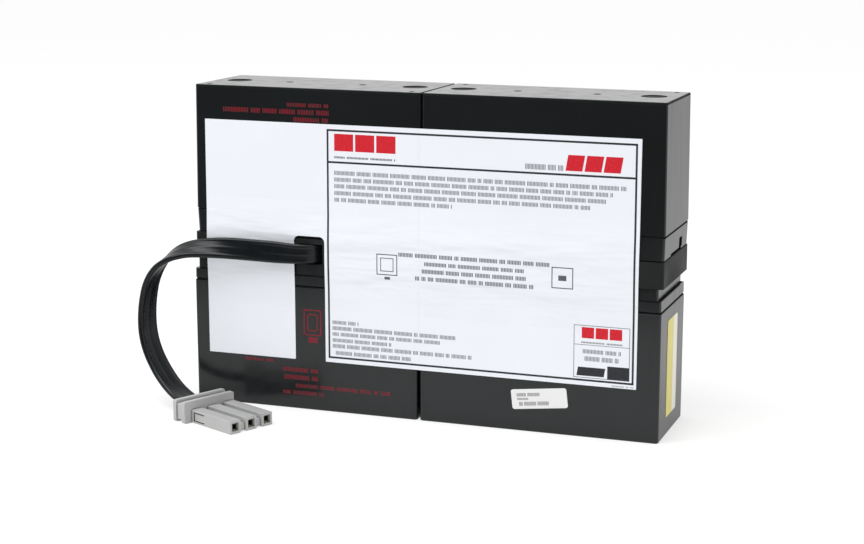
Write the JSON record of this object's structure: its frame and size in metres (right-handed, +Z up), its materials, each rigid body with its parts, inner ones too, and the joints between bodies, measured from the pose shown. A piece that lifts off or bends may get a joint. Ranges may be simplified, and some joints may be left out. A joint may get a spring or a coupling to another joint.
{
  "type": "ups battery cartridge",
  "caption": "Battery cartridge for an uninterruptible power supply: sealed batteries stacked around a spacer frame, with a front label and a ribbon cable ending in a finger plug.",
  "frame": {"origin": "under the middle of the spacer frame, within a millimetre of the centre of the footprint, on the supporting surface", "axes": "X runs along the cartridge, Y from the labelled front to the back, Z up"},
  "size_m": [0.3389, 0.1328, 0.204],
  "materials": {
    "battery_case": "fine moulded grain, satin",
    "battery_lid": "fine moulded grain, satin",
    "vent_cover": "satin",
    "battery_tab": "tin plated",
    "spacer": "satin moulding",
    "foam_pad": "closed-cell foam",
    "link_cover": "satin, moulded over a metal link",
    "receptacle": "tin plated",
    "lead_insulation": "smooth",
    "ribbon_insulation": "smooth, slightly glossy",
    "plug_plastic": "satin moulding",
    "contact_metal": "plain",
    "label_sheet": "satin film",
    "small_sticker_sheet": "satin film",
    "end_sticker_sheet": "yellow front part, white rear part"
  },
  "bodies": {
    "root": {"battery_lower_left_case": "battery_case", "battery_lower_left_lid": "battery_lid", "battery_lower_left_vent_cover": "vent_cover", "battery_lower_left_tab_negative": "battery_tab", "battery_lower_left_tab_positive": "battery_tab", "battery_lower_right_case": "battery_case", "battery_lower_right_lid": "battery_lid", "battery_lower_right_vent_cover": "vent_cover", "battery_lower_right_tab_negative": "battery_tab", "battery_lower_right_tab_positive": "battery_tab", "battery_upper_left_case": "battery_case", "battery_upper_left_lid": "battery_lid", "battery_upper_left_vent_cover": "vent_cover", "battery_upper_left_tab_negative": "battery_tab", "battery_upper_left_tab_positive": "battery_tab", "battery_upper_right_case": "battery_case", "battery_upper_right_lid": "battery_lid", "battery_upper_right_vent_cover": "vent_cover", "battery_upper_right_tab_negative": "battery_tab", "battery_upper_right_tab_positive": "battery_tab", "spacer_frame": "spacer", "seam_pad": "foam_pad", "series_link_left": "link_cover", "series_link_right": "link_cover", "receptacle_negative": "receptacle", "receptacle_positive": "receptacle", "receptacle_jumper_left": "receptacle", "receptacle_jumper_right": "receptacle", "jumper_wire": "lead_insulation", "lead_middle": "lead_insulation", "lead_negative": "lead_insulation", "lead_positive": "lead_insulation", "ribbon_cable": "ribbon_insulation", "plug_housing": "plug_plastic", "plug_contact_1": "contact_metal", "plug_contact_2": "contact_metal", "plug_contact_3": "contact_metal", "front_label": "label_sheet", "small_sticker": "small_sticker_sheet", "end_sticker": "end_sticker_sheet"}
  },
  "joints": []
}
